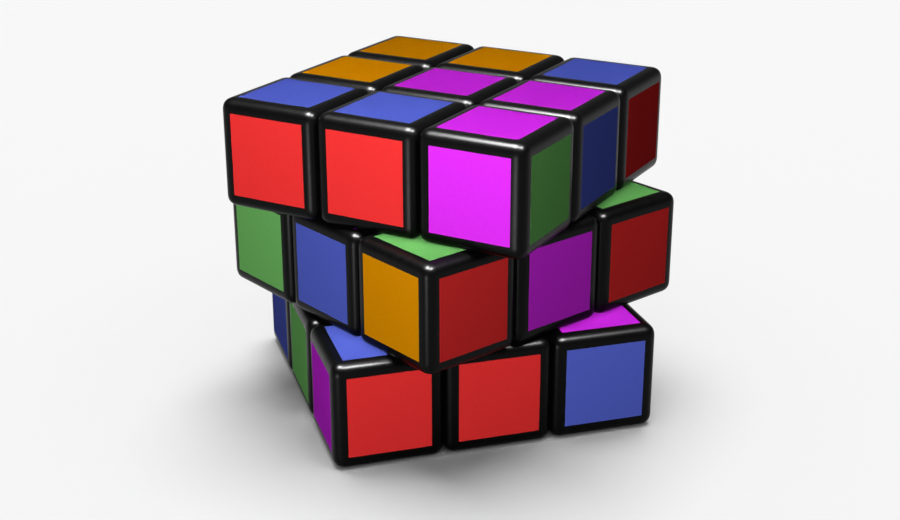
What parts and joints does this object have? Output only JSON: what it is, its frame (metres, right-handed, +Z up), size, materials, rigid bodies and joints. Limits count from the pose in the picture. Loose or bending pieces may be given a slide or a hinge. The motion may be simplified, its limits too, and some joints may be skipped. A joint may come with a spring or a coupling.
{
  "type": "twisty puzzle cube",
  "caption": "Layered twisty puzzle cube of rounded black cubies with flush colour tiles, its layers part-way through a turn; the top and bottom layers turn on a sprung core.",
  "frame": {"origin": "middle of the flat bottom face", "axes": "+Z up, along the axis that the layers turn about; +X and +Y square to the side faces of the middle layer"},
  "size_m": [0.074, 0.074, 0.057],
  "materials": {
    "black_plastic": "gloss black moulding",
    "inner_plastic": "matt black moulding",
    "steel": "bright zinc-plated steel",
    "tile_red": "satin, fine grain",
    "tile_orange": "satin, fine grain",
    "tile_yellow": "satin, fine grain",
    "tile_green": "satin, fine grain",
    "tile_blue": "satin, fine grain",
    "tile_magenta": "satin, fine grain"
  },
  "bodies": {
    "core_and_middle_layer": {"back_centre": "black_plastic", "back_centre_lid": "black_plastic", "core": "inner_plastic", "core_screws": "steel", "front_centre": "black_plastic", "front_centre_lid": "black_plastic", "left_centre": "black_plastic", "left_centre_lid": "black_plastic", "middle_back_left_edge": "black_plastic", "middle_back_right_edge": "black_plastic", "middle_blue_tiles": "tile_blue", "middle_edge_feet": "inner_plastic", "middle_front_left_edge": "black_plastic", "middle_front_right_edge": "black_plastic", "middle_green_tiles": "tile_green", "middle_magenta_tiles": "tile_magenta", "middle_orange_tiles": "tile_orange", "middle_red_tiles": "tile_red", "middle_yellow_tiles": "tile_yellow", "right_centre": "black_plastic", "right_centre_lid": "black_plastic", "tension_springs": "steel"},
    "top_layer": {"top_back_edge": "black_plastic", "top_back_left_corner": "black_plastic", "top_back_right_corner": "black_plastic", "top_blue_tiles": "tile_blue", "top_centre": "black_plastic", "top_centre_lid": "black_plastic", "top_corner_feet": "inner_plastic", "top_edge_feet": "inner_plastic", "top_front_edge": "black_plastic", "top_front_left_corner": "black_plastic", "top_front_right_corner": "black_plastic", "top_green_tiles": "tile_green", "top_left_edge": "black_plastic", "top_magenta_tiles": "tile_magenta", "top_orange_tiles": "tile_orange", "top_red_tiles": "tile_red", "top_right_edge": "black_plastic", "top_yellow_tiles": "tile_yellow"},
    "bottom_layer": {"bottom_back_edge": "black_plastic", "bottom_back_left_corner": "black_plastic", "bottom_back_right_corner": "black_plastic", "bottom_blue_tiles": "tile_blue", "bottom_centre": "black_plastic", "bottom_centre_lid": "black_plastic", "bottom_corner_feet": "inner_plastic", "bottom_edge_feet": "inner_plastic", "bottom_front_edge": "black_plastic", "bottom_front_left_corner": "black_plastic", "bottom_front_right_corner": "black_plastic", "bottom_green_tiles": "tile_green", "bottom_left_edge": "black_plastic", "bottom_magenta_tiles": "tile_magenta", "bottom_orange_tiles": "tile_orange", "bottom_red_tiles": "tile_red", "bottom_right_edge": "black_plastic", "bottom_yellow_tiles": "tile_yellow"}
  },
  "joints": [
    {"name": "top_layer_turn", "type": "hinge", "parent": "core_and_middle_layer", "child": "top_layer", "pos_m": [0, 0, 0.0475], "axis": [0, 0, 1], "continuous": true},
    {"name": "bottom_layer_turn", "type": "hinge", "parent": "core_and_middle_layer", "child": "bottom_layer", "pos_m": [0, 0, 0.0095], "axis": [0, 0, 1], "continuous": true}
  ]
}
